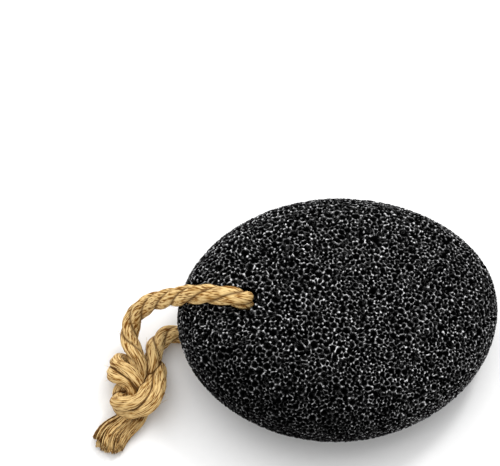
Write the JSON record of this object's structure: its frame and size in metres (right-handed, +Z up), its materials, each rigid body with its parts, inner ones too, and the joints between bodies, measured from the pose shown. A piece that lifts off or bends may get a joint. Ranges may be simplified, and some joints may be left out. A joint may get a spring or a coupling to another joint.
{
  "type": "pumice stone",
  "caption": "Flattened egg-shaped black lava pumice stone, porous all over, with a knotted jute rope loop through a hole near its narrow end.",
  "frame": {"origin": "under the middle of the stone, on the surface it rests on", "axes": "+X along the stone's long axis, away from the hole; +Z up through its thickness"},
  "size_m": [0.1275, 0.0783, 0.0388],
  "materials": {
    "lava_foam": "black open-cell lava foam, glassy on the pore rims",
    "jute_rope": "natural golden jute, laid in strands"
  },
  "bodies": {
    "root": {"pumice_stone": "lava_foam", "rope_loop": "jute_rope", "rope_knot": "jute_rope", "rope_tail_a": "jute_rope", "rope_tail_b": "jute_rope"}
  },
  "joints": []
}
